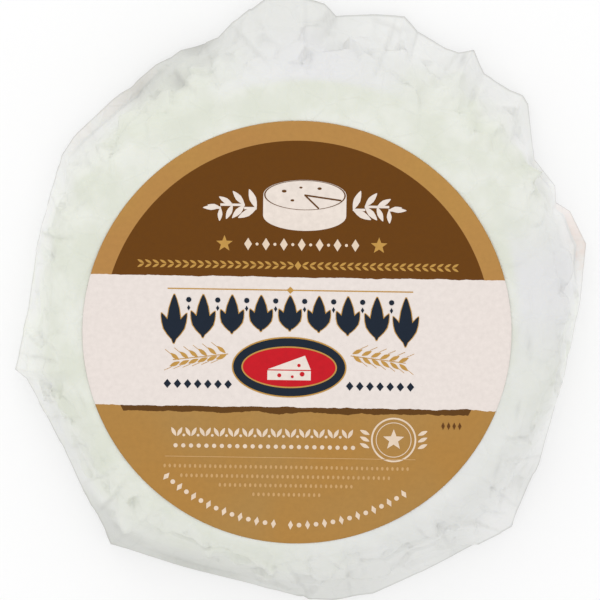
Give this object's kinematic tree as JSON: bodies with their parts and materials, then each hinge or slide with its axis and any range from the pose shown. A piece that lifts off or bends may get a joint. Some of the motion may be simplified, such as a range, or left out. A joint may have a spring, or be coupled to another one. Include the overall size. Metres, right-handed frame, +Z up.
{
  "type": "wrapped brie wheel",
  "caption": "Small round brie wheel shut in white waxed paper, folded to an uneven outline of corners and pleated under the wheel, with a round printed label on its face.",
  "frame": {"origin": "on the ground, in the middle of the wrapped wheel's width and depth", "axes": "+Z up through the label, +Y towards the label's upper edge, +X to its right"},
  "size_m": [0.1188, 0.1274, 0.024],
  "materials": {
    "waxed_paper": "white waxed paper, faintly see-through over the cheese, soft sheen",
    "printed_paper": "printed label paper in brown, tan and cream with gold trim, satin"
  },
  "bodies": {
    "root": {"paper_wrap": "waxed_paper", "label": "printed_paper"}
  },
  "joints": []
}
